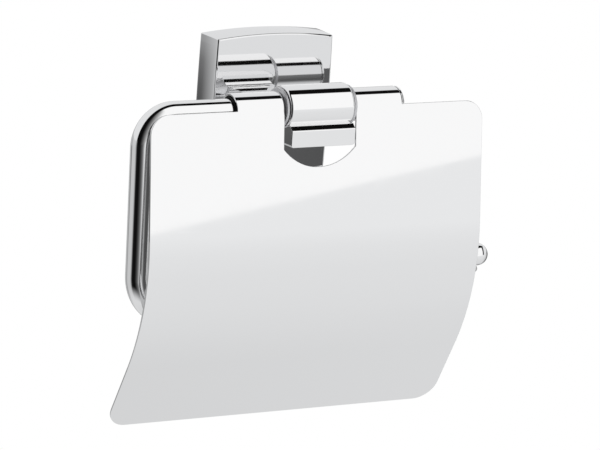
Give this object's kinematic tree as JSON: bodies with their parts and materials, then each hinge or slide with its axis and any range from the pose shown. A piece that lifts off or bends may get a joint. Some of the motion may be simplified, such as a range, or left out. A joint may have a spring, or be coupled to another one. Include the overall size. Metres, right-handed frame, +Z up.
{
  "type": "toilet paper holder",
  "caption": "Wall-held chromed toilet paper holder: a square rosette and arm carry a swinging bent rod for the roll and a curved hinged cover in front of it.",
  "frame": {"origin": "middle of the mounting plate's back, on the wall plane", "axes": "+Z up, +Y into the wall, +X along the hinge axis towards the rod's free end"},
  "size_m": [0.1524, 0.0502, 0.1376],
  "materials": {
    "rosette_chrome": "polished chrome plating on a zinc casting",
    "arm_chrome": "polished chrome plating on a zinc casting",
    "rod_chrome": "polished chrome plating on a bent round bar",
    "cover_chrome": "polished chrome plating on sheet",
    "plain_steel": "zinc-plated steel",
    "black_nylon": "moulded black nylon",
    "grey_rubber": "soft grey rubber"
  },
  "bodies": {
    "wall_side": {"wall_rosette": "rosette_chrome", "mounting_plate": "plain_steel", "rosette_grub_screw": "plain_steel", "arm_bolt": "plain_steel", "arm_bolt_washer": "plain_steel", "left_locating_pin": "plain_steel", "right_locating_pin": "plain_steel", "arm": "arm_chrome", "axle_grub_screw": "plain_steel", "left_barrel_bush": "black_nylon", "right_barrel_bush": "black_nylon"},
    "rod": {"roll_rod": "rod_chrome", "rod_end_cap": "rod_chrome", "left_thrust_washer": "plain_steel", "right_thrust_washer": "plain_steel"},
    "cover": {"cover_plate": "cover_chrome", "cover_bumper_left": "grey_rubber", "cover_bumper_right": "grey_rubber", "left_outer_bush": "black_nylon", "left_inner_bush": "black_nylon", "right_inner_bush": "black_nylon", "right_outer_bush": "black_nylon", "right_knuckle_cap": "rod_chrome"}
  },
  "joints": [
    {"name": "rod_swing", "type": "hinge", "parent": "wall_side", "child": "rod", "pos_m": [0, -0.0395, 0.0047], "axis": [-1, 0, 0], "range_deg": [-10, 40]},
    {"name": "cover_lift", "type": "hinge", "parent": "rod", "child": "cover", "pos_m": [0, -0.0395, 0.0047], "axis": [-1, 0, 0], "range_deg": [0, 135]}
  ]
}
